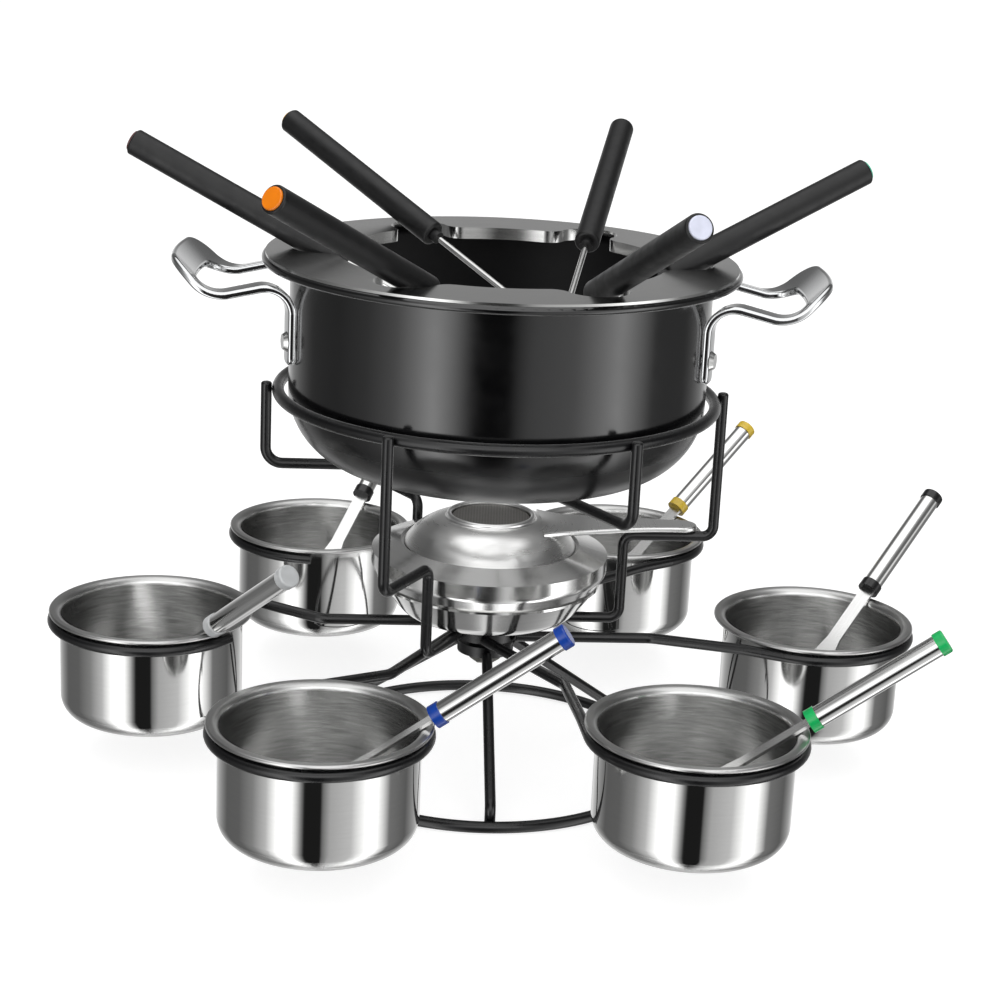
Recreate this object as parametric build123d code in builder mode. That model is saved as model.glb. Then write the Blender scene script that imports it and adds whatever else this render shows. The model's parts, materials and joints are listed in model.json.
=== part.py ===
from build123d import *
from math import asin, atan2, cos, degrees, hypot, radians, sin, sqrt
import os

# Fondue set: a pot in a wire stand with a burner under it, a ring that holds six forks, and a
# turning carousel of six sauce cups, each with a spreader.
# Millimetres. The origin is on the stand's axis at table height, +Z is up, and azimuth 0 is +X.

COUNT = 6                       # forks, notches, cups and spreaders
SEAT_GAP = 0.05                 # between pieces of one body that rest on each other
RUNNING_GAP = 0.06              # radial clearance of a turning fit
REST_GAP = 0.3                  # between separate pieces that lie on each other

# Pot
POT_RADIUS = 86.4
POT_WALL = 1.6
POT_FLOOR_Z = 133.0             # underside of the pot
POT_HEIGHT = 86.5               # underside to rim
POT_CORNER = 31.0               # outer radius between the floor and the wall
RIM_REACH = 11.6                # how far the rim stands out from the wall
RIM_BEND = 3.0                  # bend from the wall into the rim
RIM_BEAD = 1.6                  # radius of the rolled edge

# Pot handles, each a pressed strip bent into a loop
HANDLE_THICKNESS = 3.2
HANDLE_LEG_WIDTH = 9.0
HANDLE_LEG_SPREAD = 27.0        # from the handle's middle to a leg's middle
HANDLE_REACH = 47.6             # pot wall to the outer edge of the grip
HANDLE_GRIP_DEPTH = 9.8         # width of the grip seen from above
HANDLE_TAB_LENGTH = 21.0        # flat of the tab on the wall
HANDLE_TAB_DROP = 21.0          # from the rim to where the tab starts to bend out
HANDLE_NECK_BEND = 10.0         # first bend, from the wall outwards
HANDLE_DIP_BEND = 14.0          # second bend, up into the grip
HANDLE_DIP_ANGLE = 14.0         # how steeply the leg falls towards the dip
HANDLE_GRIP_ANGLE = 48.0        # slope of the grip
HANDLE_DIP_RUN = 12.0
HANDLE_OUTER_CORNER = 15.0
HANDLE_INNER_CORNER = 9.0
HANDLE_TAB_CORNER = 3.6
HANDLE_EDGE_FILLET = 1.2
RIVET_RADIUS = 2.0
RIVET_HEAD_RADIUS = 4.2
RIVET_HEAD_HEIGHT = 1.6
RIVET_ABOVE_TAB_END = 9.5
RIVET_BUTTON_HEIGHT = 0.8       # the flat head inside the pot

# Fork ring
RING_THICKNESS = 1.0
RING_EDGE_INSET = 1.5           # from the rim's edge to the ring's edge
RING_LIP_INSET = 18.9           # from the pot's wall to the ring's inner lobes
NOTCH_RADIUS = 12.5
NOTCH_MOUTH_FILLET = 7.0
NOTCH_INSET = 0.2               # from the pot's outer wall to the notch's bottom
SKIRT_DEPTH = 5.0
SKIRT_WALL = 0.8
SKIRT_POT_GAP = 0.6

# Forks: each seat is (azimuth of the rest point, azimuth the grip points to, elevation)
FORK_SEATS = (
    (181.4, 168.3, 24.9),
    (242.4, 232.7, 26.3),
    (122.7, 140.2, 23.7),
    (62.5, 79.3, 23.7),
    (300.3, 290.4, 24.8),
    (1.0, 23.1, 24.4),
)
FORK_LENGTH = 245.0
GRIP_RADIUS = 5.5
GRIP_LENGTH = 98.0
GRIP_OUTSIDE = 75.0             # grip beyond the rest point
GRIP_END_FILLET = 1.4
GRIP_RIM_FILLET = 0.9           # round the cap
GRIP_COLLAR_RADIUS = 2.8
GRIP_COLLAR_LENGTH = 3.0
FORK_SEAT_GAP = 0.45            # between the grip and the bottom edge of its notch
SHAFT_RADIUS = 1.25
SHAFT_EMBEDDED = 20.0
FORK_HEAD_LENGTH = 46.0
FORK_HEAD_WIDTH = 8.2
FORK_HEAD_THICKNESS = 1.2
PRONG_LENGTH = 27.0
PRONG_WIDTH = 2.1
PRONG_CROTCH = 2.0              # depth of the notch's bottom between the prongs
FORK_SHOULDER = 7.0             # length over which the shaft widens into the head
BARB = 0.8
BARB_LENGTH = 4.0
BARB_BACK = 1.0
CAP_RADIUS = 4.4
CAP_THICKNESS = 2.0
CAP_RECESS = 1.2
CAP_FILLET = 0.5

# Wire stand
WIRE_RADIUS = 2.25
WIRE_END_FILLET = 1.0           # on the ends above the top ring
TOP_RING_WIRE = 2.5
TOP_RING_CLEARANCE = 1.6        # pot wall to ring
TOP_RING_Z = 163.0
LEG_TOP_ABOVE_RING = 2.5
LEG_START = 5.0                 # azimuth of the first long leg; the pot rests stand between them
LEG_SHELF_Z = 102.3
LEG_INNER_RADIUS = 57.0
LEG_BEND = 4.6
BURNER_RAIL_Z = 65.0            # wires that carry the burner
REST_REACH = 46.0               # pot axis to the inner end of a pot rest
REST_BEND = 7.0

# Hub and base
HUB_RADIUS = 14.0
HUB_THICKNESS = 4.5
HUB_BOSS_RADIUS = 7.0
CAROUSEL_Z = 59.0               # middle of the carousel's hub
BASE_HUB_Z = 52.0
BASE_HUB_RADIUS = 12.0
BOLT_RADIUS = 4.0
BOLT_HEAD_RADIUS = 6.6
BOLT_HEAD_HEIGHT = 4.6
BOLT_HEAD_CHAMFER = 0.6
BOLT_PAST_RAIL = 1.0            # bolt's end above the middle of the stand's hub
BASE_RING_RADIUS = 78.0
BASE_RING_WIRE = 2.4
BASE_RING_FLAT = 0.15           # ground off the underside
BASE_LEG_START = -86.0
BASE_LEG_BEND_Z = 8.9
BASE_LEG_BEND = 5.0
BASE_LEG_FOOT_Z = 1.0

# Carousel and cups
CAROUSEL_PHASE = 5.0            # azimuth of the first cup at rest
CUP_ORBIT = 142.0
CUP_RADIUS = 38.2
CUP_WALL = 0.8
CUP_FLOOR_Z = 20.0
CUP_HEIGHT = 46.3
CUP_CORNER = 9.0
CUP_LIP_REACH = 4.5
CUP_LIP_BEND = 3.0              # inner radius of the lip's bend
CUP_LIP_BEAD = 0.85
CUP_RING_GAP = 0.65             # cup wall to the wire that holds it
ARM_OFFSET = 9.0                # arm beside the radius to its cup
ARM_BEND_AT = 70.0
ARM_BEND = 9.0
ARM_RISE_BEND = 60.0
ARM_LEVEL_RUN = 18.0
ARM_END_ANGLE = 144.0

# Spreaders: the azimuth each leans to
SPREADER_LEANS = (48.0, 42.0, 66.0, -45.0, 0.0, 0.0)
SPREADER_SLOPE = 36.0
SPREADER_LIP_GAP = 0.45
SPREADER_COLLAR_AT = 5.0        # lip to the lower collar
SPREADER_COLLAR_RADIUS = 4.7
SPREADER_COLLAR_LENGTH = 4.0
SPREADER_COLLAR_FILLET = 0.8
SPREADER_TUBE_RADIUS = 4.2
SPREADER_TUBE_WALL = 0.6
SPREADER_TUBE_LENGTH = 52.0
SPREADER_SPIGOT = 6.0
STEM_WIDTH = 6.5
STEM_THICKNESS = 1.2
TANG_WIDTH = 4.0
TANG_LENGTH = 14.0
BLADE_WIDTH = 11.0
BLADE_LENGTH = 40.0
BLADE_TAPER = 12.0

# Burner
BURNER_BASE_RADIUS = 35.5
BURNER_SEAM_RADIUS = 46.5
BURNER_SEAM_Z = 82.8
BURNER_SEAM_BEAD = 0.6          # how far the pan's bead stands out at the seam
BURNER_FLANGE_RADIUS = 50.0
BURNER_FLANGE_Z = 94.9
BURNER_BAND = 6.5               # upright side of the flange
BURNER_WALL = 1.0
BURNER_BASE_CORNER = 11.0
DOME_EDGE_RADIUS = 36.5
DOME_EDGE_Z = 99.6
DOME_MOUTH_RADIUS = 16.6
DOME_TOP_Z = 111.2
DOME_LIP = 1.1                  # radius of the rolled lip round the mouth
DOME_WALL = 1.4
DOME_CROWN = 2.2                # how far the dome bulges over its chord
GROOVE_WIDTH = 1.3              # between the dome's edge and the cover
NECK_CLEARANCE = 0.4
NECK_DROP = 2.4                 # from the dome's lip to the neck's top
GAUZE_THICKNESS = 0.8
REGULATOR_AZIMUTH = 5.0
REGULATOR_REACH = 88.0
REGULATOR_ROOT_WIDTH = 36.0     # where the handle leaves the dome
REGULATOR_NECK_WIDTH = 18.0
REGULATOR_TIP_WIDTH = 12.0
REGULATOR_THICKNESS = 2.2
REGULATOR_Z = 106.6
REGULATOR_FLARE = 31.0          # length over which the handle narrows
REGULATOR_DROP = 0.3            # slope of the handle where it leaves the dome
REGULATOR_SWEEP = 0.7           # slope of the handle's sides there, seen from above
REGULATOR_EDGE_FILLET = 0.7


# ---------------------------------------------------------------- derived places
RIM_Z = POT_FLOOR_Z + POT_HEIGHT
RIM_RADIUS = POT_RADIUS + RIM_REACH
POT_BORE = POT_RADIUS - POT_WALL
RING_BASE_Z = RIM_Z + SEAT_GAP
RING_TOP_Z = RING_BASE_Z + RING_THICKNESS
NOTCH_BOTTOM = POT_RADIUS - NOTCH_INSET
POT_BORE_SAG = POT_BORE - sqrt(POT_BORE**2 - RIVET_HEAD_RADIUS**2) + 2 * SEAT_GAP
TOP_RING_RADIUS = POT_RADIUS + TOP_RING_CLEARANCE + TOP_RING_WIRE
LEG_RADIUS = TOP_RING_RADIUS + TOP_RING_WIRE + WIRE_RADIUS
CUP_RIM_Z = CUP_FLOOR_Z + CUP_HEIGHT
CUP_BORE = CUP_RADIUS - CUP_WALL
CUP_LIP_Z = CUP_RIM_Z - CUP_LIP_BEND            # centre of the lip's bend
CUP_LIP_RADIUS = CUP_BORE + CUP_LIP_BEND
CUP_RING_RADIUS = CUP_RADIUS + CUP_RING_GAP + WIRE_RADIUS
CUP_RING_Z = CUP_RIM_Z - CUP_WALL - 2 * CUP_LIP_BEAD - WIRE_RADIUS
BURNER_BASE_Z = BURNER_RAIL_Z + WIRE_RADIUS + SEAT_GAP


def lean_plane(point, azimuth, elevation):
    """A frame at a point whose local x rises outwards, and whose local y is level."""
    a, e = radians(azimuth), radians(elevation)
    return Plane(
        origin=point,
        x_dir=(cos(a) * cos(e), sin(a) * cos(e), sin(e)),
        z_dir=(-cos(a) * sin(e), -sin(a) * sin(e), cos(e)),
    )


def polar(radius, azimuth, z):
    a = radians(azimuth)
    return Vector(radius * cos(a), radius * sin(a), z)


def bent_wire(points, bends, radius):
    """A round wire along straight runs joined by arcs, with its first end rounded off."""
    with BuildPart() as wire:
        with BuildLine() as route:
            FilletPolyline(*points, radius=bends)
        start = route.wires()[0]
        with BuildSketch(Plane(origin=start @ 0, z_dir=start % 0)):
            Circle(radius)
        sweep(path=start)
        free_end = wire.edges().filter_by(GeomType.CIRCLE).sort_by_distance(start @ 0)[0]
        fillet(free_end, WIRE_END_FILLET)
    return wire.part


def ring_of(piece, count, start):
    """Copies of a piece around the axis, as separate solids of one node."""
    with BuildPart() as group:
        with PolarLocations(0, count, start_angle=start):
            add(piece)
    return group.part


def write(part, name):
    part.label = name
    export_step(part, f"parts/{name}.step")


# ---------------------------------------------------------------- pot
def rivet_planes():
    """Outward planes on the pot's wall, one for each rivet."""
    spread = degrees(asin(HANDLE_LEG_SPREAD / POT_RADIUS))
    z = RIM_Z - HANDLE_TAB_DROP - HANDLE_TAB_LENGTH + RIVET_ABOVE_TAB_END
    return [
        Plane(origin=polar(POT_RADIUS, az, z), z_dir=polar(1, az, 0))
        for az in (-spread, spread, 180 - spread, 180 + spread)
    ]


def rivet_bores():
    """The holes that the rivets pass through."""
    with BuildPart() as bores:
        for plane in rivet_planes():
            with BuildSketch(plane.offset(-2 * POT_WALL)):
                Circle(RIVET_RADIUS + SEAT_GAP)
            extrude(amount=2 * POT_WALL + 2 * HANDLE_THICKNESS)
    return bores.part


def make_pot(bores):
    """A drawn pot: round corner, straight wall, and a flat rim with a rolled edge."""
    rim_under = RIM_Z - POT_WALL
    bead_centre = RIM_RADIUS - RIM_BEAD
    with BuildPart() as pot:
        with BuildSketch(Plane.XZ):
            with BuildLine():
                Line((0, POT_FLOOR_Z + POT_WALL), (0, POT_FLOOR_Z))
                Line((0, POT_FLOOR_Z), (POT_RADIUS - POT_CORNER, POT_FLOOR_Z))
                RadiusArc(
                    (POT_RADIUS - POT_CORNER, POT_FLOOR_Z),
                    (POT_RADIUS, POT_FLOOR_Z + POT_CORNER),
                    -POT_CORNER,
                )
                Line((POT_RADIUS, POT_FLOOR_Z + POT_CORNER), (POT_RADIUS, rim_under - RIM_BEND))
                RadiusArc(
                    (POT_RADIUS, rim_under - RIM_BEND),
                    (POT_RADIUS + RIM_BEND, rim_under),
                    RIM_BEND,
                )
                Line((POT_RADIUS + RIM_BEND, rim_under), (bead_centre - RIM_BEAD, rim_under))
                ThreePointArc(
                    (bead_centre - RIM_BEAD, rim_under),
                    (bead_centre, rim_under - RIM_BEAD),
                    (RIM_RADIUS, rim_under),
                )
                RadiusArc((RIM_RADIUS, rim_under), (RIM_RADIUS - POT_WALL, RIM_Z), -POT_WALL)
                inner_bend = RIM_BEND + POT_WALL
                Line((RIM_RADIUS - POT_WALL, RIM_Z), (POT_BORE + inner_bend, RIM_Z))
                RadiusArc(
                    (POT_BORE + inner_bend, RIM_Z), (POT_BORE, RIM_Z - inner_bend), -inner_bend
                )
                Line((POT_BORE, RIM_Z - inner_bend), (POT_BORE, POT_FLOOR_Z + POT_CORNER))
                RadiusArc(
                    (POT_BORE, POT_FLOOR_Z + POT_CORNER),
                    (POT_RADIUS - POT_CORNER, POT_FLOOR_Z + POT_WALL),
                    POT_CORNER - POT_WALL,
                )
                Line((POT_RADIUS - POT_CORNER, POT_FLOOR_Z + POT_WALL), (0, POT_FLOOR_Z + POT_WALL))
            make_face()
        revolve(axis=Axis.Z)
        add(bores, mode=Mode.SUBTRACT)
    return pot.part


def handle_strip(thickness):
    """The handle's bent strip as a band turned about the pot's axis."""
    middle = POT_RADIUS + SEAT_GAP + HANDLE_THICKNESS / 2
    tab_top = RIM_Z - HANDLE_TAB_DROP
    outer = POT_RADIUS + HANDLE_REACH
    dip, grip = radians(HANDLE_DIP_ANGLE), radians(HANDLE_GRIP_ANGLE)
    neck = Vector(middle + HANDLE_NECK_BEND, tab_top)
    crest = neck + Vector(sin(dip), cos(dip)) * HANDLE_NECK_BEND
    fall = crest + Vector(cos(dip), -sin(dip)) * HANDLE_DIP_RUN
    hollow = fall + Vector(sin(dip), cos(dip)) * HANDLE_DIP_BEND
    rise = hollow + Vector(sin(grip), -cos(grip)) * HANDLE_DIP_BEND
    grip_end = rise + Vector(cos(grip), sin(grip)) * ((outer - rise.X) / cos(grip) + 4)
    with BuildPart() as strip:
        with BuildSketch(Plane.XZ):
            with BuildLine() as centre:
                Line((middle, tab_top - HANDLE_TAB_LENGTH), (middle, tab_top))
                RadiusArc((middle, tab_top), crest, HANDLE_NECK_BEND)
                Line(crest, fall)
                RadiusArc(fall, rise, -HANDLE_DIP_BEND)
                Line(rise, grip_end)
            trace(line_width=thickness)
        revolve(axis=Axis.Z)
    return strip.part


def handle_outline(leg_width, outer, inner):
    """The handle seen from above: two legs and a curved grip."""
    side = HANDLE_LEG_SPREAD + leg_width / 2
    window = HANDLE_LEG_SPREAD - leg_width / 2
    with BuildPart() as outline:
        with BuildSketch():
            with BuildSketch(mode=Mode.PRIVATE) as outside:
                with Locations((outer / 2, 0)):
                    Rectangle(outer + side, 2 * side)
                Circle(outer, mode=Mode.INTERSECT)
                fillet(outside.vertices().group_by(Axis.X)[-1], HANDLE_OUTER_CORNER)
            with BuildSketch(mode=Mode.PRIVATE) as inside:
                with Locations((inner / 2, 0)):
                    Rectangle(inner + window, 2 * window)
                Circle(inner, mode=Mode.INTERSECT)
                fillet(inside.vertices().group_by(Axis.X)[-1], HANDLE_INNER_CORNER)
            add(outside.sketch)
            add(inside.sketch, mode=Mode.SUBTRACT)
            Circle(POT_BORE, mode=Mode.SUBTRACT)
        extrude(amount=RIM_Z + HANDLE_TAB_LENGTH)
    return outline.part


def make_handle(bores):
    """A loop handle pressed from strip, with rounded tab ends and softened edges."""
    outer = POT_RADIUS + HANDLE_REACH
    outline = handle_outline(HANDLE_LEG_WIDTH, outer, outer - HANDLE_GRIP_DEPTH)
    with BuildPart() as handle:
        add(handle_strip(HANDLE_THICKNESS))
        add(outline, mode=Mode.INTERSECT)
        tab_ends = handle.edges().filter_by(GeomType.LINE).filter_by(Axis.X).group_by(Axis.Z)[0]
        fillet(tab_ends, HANDLE_TAB_CORNER)
        fillet(handle.edges(), HANDLE_EDGE_FILLET)
        add(bores, mode=Mode.SUBTRACT)
    return handle.part


def make_rivets():
    """Rivets with a domed head on the tab and a flat head inside the pot."""
    inside = -POT_WALL - POT_BORE_SAG
    outside = HANDLE_THICKNESS + 2 * SEAT_GAP
    with BuildPart() as rivets:
        for plane in rivet_planes():
            with BuildSketch(plane.offset(inside)):
                Circle(RIVET_RADIUS)
            extrude(amount=outside - inside)
            with BuildSketch(plane.offset(outside)):
                Circle(RIVET_HEAD_RADIUS)
            extrude(amount=RIVET_HEAD_HEIGHT, taper=35)
            with BuildSketch(plane.offset(inside)):
                Circle(RIVET_HEAD_RADIUS)
            extrude(amount=-RIVET_BUTTON_HEIGHT, taper=30)
    return rivets.part


# ---------------------------------------------------------------- fork ring
def ring_opening(growth=0.0):
    """The ring's scalloped opening, or an outline that lies outside it by a growth."""
    with BuildSketch() as opening:
        Circle(POT_RADIUS - RING_LIP_INSET + growth)
        with PolarLocations(NOTCH_BOTTOM - NOTCH_RADIUS, COUNT):
            Circle(NOTCH_RADIUS + growth)
        fillet(opening.vertices(), NOTCH_MOUTH_FILLET - growth)
    return opening.sketch


def make_fork_ring():
    """A pressed ring with a scalloped inner edge that is turned down into the pot."""
    opening = ring_opening()
    with BuildPart() as ring:
        with BuildSketch(Plane.XY.offset(RING_TOP_Z)):
            Circle(RIM_RADIUS - RING_EDGE_INSET)
            add(opening, mode=Mode.SUBTRACT)
        extrude(amount=-RING_THICKNESS)
        with BuildSketch(Plane.XY.offset(RING_TOP_Z)):
            add(ring_opening(SKIRT_WALL))
            Circle(POT_BORE - SKIRT_POT_GAP, mode=Mode.INTERSECT)
            add(opening, mode=Mode.SUBTRACT)
        extrude(amount=-SKIRT_DEPTH)
    return ring.part


# ---------------------------------------------------------------- forks, along local x
def make_fork_grip():
    inner = GRIP_OUTSIDE - GRIP_LENGTH
    with BuildPart() as grip:
        with BuildSketch(Plane.YZ.offset(inner)):
            Circle(GRIP_RADIUS)
        extrude(amount=GRIP_LENGTH)
        fillet(grip.edges().group_by(Axis.X)[-1], GRIP_RIM_FILLET)
        fillet(grip.edges().group_by(Axis.X)[0], GRIP_END_FILLET)
        with BuildSketch(Plane.YZ.offset(inner)):
            Circle(GRIP_COLLAR_RADIUS)
        extrude(amount=-GRIP_COLLAR_LENGTH)
        with BuildSketch(Plane.YZ.offset(GRIP_OUTSIDE)):
            Circle(CAP_RADIUS + 2 * SEAT_GAP)
        extrude(amount=-CAP_RECESS, mode=Mode.SUBTRACT)
        with BuildSketch(Plane.YZ.offset(inner - GRIP_COLLAR_LENGTH)):
            Circle(SHAFT_RADIUS + SEAT_GAP)
        extrude(amount=SHAFT_EMBEDDED + GRIP_COLLAR_LENGTH + SEAT_GAP, mode=Mode.SUBTRACT)
    return grip.part


def make_fork_cap():
    with BuildPart() as cap:
        with BuildSketch(Plane.YZ.offset(GRIP_OUTSIDE - CAP_RECESS + SEAT_GAP)):
            Circle(CAP_RADIUS)
        extrude(amount=CAP_THICKNESS)
        fillet(cap.edges().group_by(Axis.X)[-1], CAP_FILLET)
    return cap.part


def make_fork_steel():
    """A round shaft whose end is flattened into two barbed prongs."""
    tip = GRIP_OUTSIDE - FORK_LENGTH
    head = tip + FORK_HEAD_LENGTH
    side = FORK_HEAD_WIDTH / 2
    root = tip + PRONG_LENGTH
    crotch = root + PRONG_CROTCH
    shaft_top = GRIP_OUTSIDE - GRIP_LENGTH + SHAFT_EMBEDDED
    with BuildPart() as steel:
        with BuildSketch(Plane.YZ.offset(head - FORK_HEAD_THICKNESS)):
            Circle(SHAFT_RADIUS)
        extrude(amount=shaft_top - head + FORK_HEAD_THICKNESS)
        with BuildSketch(Plane.XY.offset(-FORK_HEAD_THICKNESS / 2)):
            with BuildLine():
                Polyline(
                    (head, 0),
                    (head, SHAFT_RADIUS),
                    (crotch + FORK_SHOULDER, SHAFT_RADIUS),
                    (crotch, side),
                    (tip + BARB_LENGTH + BARB_BACK, side),
                    (tip + BARB_LENGTH, side + BARB),
                    (tip, side - PRONG_WIDTH / 2),
                    (tip + BARB_LENGTH, side - PRONG_WIDTH),
                    (root, side - PRONG_WIDTH),
                    (crotch, 0),
                )
                mirror(about=Plane.XZ)
            make_face()
        extrude(amount=FORK_HEAD_THICKNESS)
    return steel.part


def fork_planes():
    """The frame of each fork: local x runs out along its grip from the rest point."""
    planes = []
    for seat, heading, rise in FORK_SEATS:
        height = RING_TOP_Z + (GRIP_RADIUS + FORK_SEAT_GAP) / cos(radians(rise))
        planes.append(lean_plane(polar(NOTCH_BOTTOM, seat, height), heading, rise))
    return planes


# ---------------------------------------------------------------- stand
def make_top_ring():
    with BuildPart() as ring:
        with BuildSketch(Plane.XZ):
            with Locations((TOP_RING_RADIUS, TOP_RING_Z)):
                Circle(TOP_RING_WIRE)
        revolve(axis=Axis.Z)
    return ring.part


def make_long_leg():
    """One wire from the top ring, in over the shelf, down, and in to the hub."""
    outline = [
        (LEG_RADIUS, TOP_RING_Z + LEG_TOP_ABOVE_RING),
        (LEG_RADIUS, LEG_SHELF_Z),
        (LEG_INNER_RADIUS, LEG_SHELF_Z),
        (LEG_INNER_RADIUS, BURNER_RAIL_Z),
        (HUB_RADIUS, BURNER_RAIL_Z),
    ]
    return bent_wire([(r, 0, z) for r, z in outline], LEG_BEND, WIRE_RADIUS)


def make_pot_rest():
    """One wire from the top ring, down and in under the pot's floor."""
    arm_z = POT_FLOOR_Z - SEAT_GAP - WIRE_RADIUS
    outline = [
        (LEG_RADIUS, TOP_RING_Z + LEG_TOP_ABOVE_RING),
        (LEG_RADIUS, arm_z),
        (REST_REACH, arm_z),
    ]
    return bent_wire([(r, 0, z) for r, z in outline], REST_BEND, WIRE_RADIUS)


def make_hub_plates():
    """The stand's hub above the carousel, and the base's hub below it."""
    boss_z = CAROUSEL_Z + HUB_THICKNESS / 2 + REST_GAP
    with BuildPart() as plates:
        with BuildSketch(Plane.XY.offset(BURNER_RAIL_Z - HUB_THICKNESS / 2)):
            Circle(HUB_RADIUS)
        extrude(amount=HUB_THICKNESS - SEAT_GAP)
        with BuildSketch(Plane.XY.offset(boss_z)):
            Circle(HUB_BOSS_RADIUS)
        extrude(until=Until.NEXT)
        base_top = CAROUSEL_Z - HUB_THICKNESS / 2 - REST_GAP
        with BuildSketch(Plane.XY.offset(base_top)):
            Circle(HUB_BOSS_RADIUS)
        extrude(amount=BASE_HUB_Z - base_top)
        with BuildSketch(Plane.XY.offset(BASE_HUB_Z - HUB_THICKNESS / 2)):
            Circle(BASE_HUB_RADIUS)
        extrude(amount=HUB_THICKNESS)
        with BuildSketch(Plane.XY.offset(BASE_HUB_Z - HUB_THICKNESS)):
            Circle(BOLT_RADIUS + SEAT_GAP)
        bore = BURNER_RAIL_Z - BASE_HUB_Z + HUB_THICKNESS + BOLT_PAST_RAIL
        extrude(amount=bore, mode=Mode.SUBTRACT)
    return plates.part


def make_pivot_bolt():
    """The bolt that holds both hubs together and carries the carousel."""
    under = BASE_HUB_Z - HUB_THICKNESS / 2 - SEAT_GAP
    with BuildPart() as bolt:
        with BuildSketch(Plane.XY.offset(under)):
            RegularPolygon(BOLT_HEAD_RADIUS, 6)
        extrude(amount=-BOLT_HEAD_HEIGHT)
        chamfer(bolt.edges().group_by(Axis.Z)[0], BOLT_HEAD_CHAMFER)
        with BuildSketch(Plane.XY.offset(under)):
            Circle(BOLT_RADIUS)
        extrude(amount=BURNER_RAIL_Z + BOLT_PAST_RAIL - SEAT_GAP - under)
    return bolt.part


def make_base_ring():
    """A wire ring with a narrow flat ground on its underside."""
    with BuildPart() as ring:
        with BuildSketch(Plane.XZ):
            with Locations((BASE_RING_RADIUS, BASE_RING_WIRE - BASE_RING_FLAT)):
                Circle(BASE_RING_WIRE)
        revolve(axis=Axis.Z)
        split(bisect_by=Plane.XY, keep=Keep.TOP)
    return ring.part


def make_base_leg():
    """One wire from the base's hub down to the inside of the base ring."""
    foot = BASE_RING_RADIUS - BASE_RING_WIRE - WIRE_RADIUS
    slope = atan2(BASE_HUB_Z - BASE_LEG_BEND_Z, foot - BASE_HUB_RADIUS)
    start = BASE_HUB_RADIUS + WIRE_RADIUS * sin(slope)
    outline = [(start, BASE_HUB_Z), (foot, BASE_LEG_BEND_Z), (foot, BASE_LEG_FOOT_Z)]
    return bent_wire([(r, 0, z) for r, z in outline], BASE_LEG_BEND, WIRE_RADIUS)


# ---------------------------------------------------------------- carousel and cups
def make_carousel_hub():
    with BuildPart() as hub:
        with BuildSketch(Plane.XY.offset(CAROUSEL_Z - HUB_THICKNESS / 2)):
            Circle(HUB_RADIUS)
            Circle(BOLT_RADIUS + RUNNING_GAP, mode=Mode.SUBTRACT)
        extrude(amount=HUB_THICKNESS)
    return hub.part


def make_carousel_arm():
    """One wire that leaves the hub beside the cup's radius, bends out and wraps around the cup."""
    bend = Vector(ARM_BEND_AT, -ARM_OFFSET, CAROUSEL_Z)
    run, drop = CUP_ORBIT - ARM_BEND_AT, ARM_OFFSET
    heading = atan2(drop, run) - asin(CUP_RING_RADIUS / hypot(run, drop))
    tangent_length = sqrt(run**2 + drop**2 - CUP_RING_RADIUS**2)
    along = Vector(cos(heading), sin(heading), 0)
    touch = Vector(bend.X, bend.Y, CUP_RING_Z) + along * tangent_length
    level = touch - along * ARM_LEVEL_RUN
    hub_edge = sqrt(HUB_RADIUS**2 - (ARM_OFFSET - WIRE_RADIUS) ** 2)
    start_angle = degrees(heading) - 90
    with BuildPart() as arm:
        with BuildLine() as route:
            FilletPolyline(
                (hub_edge, -ARM_OFFSET, CAROUSEL_Z), bend, level, touch,
                radius=[ARM_BEND, ARM_RISE_BEND],
            )
            CenterArc(
                (CUP_ORBIT, 0, CUP_RING_Z), CUP_RING_RADIUS, start_angle, ARM_END_ANGLE - start_angle
            )
        path = route.wires()[0]
        with BuildSketch(Plane(origin=path @ 0, z_dir=path % 0)):
            Circle(WIRE_RADIUS)
        sweep(path=path)
    return arm.part


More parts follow.
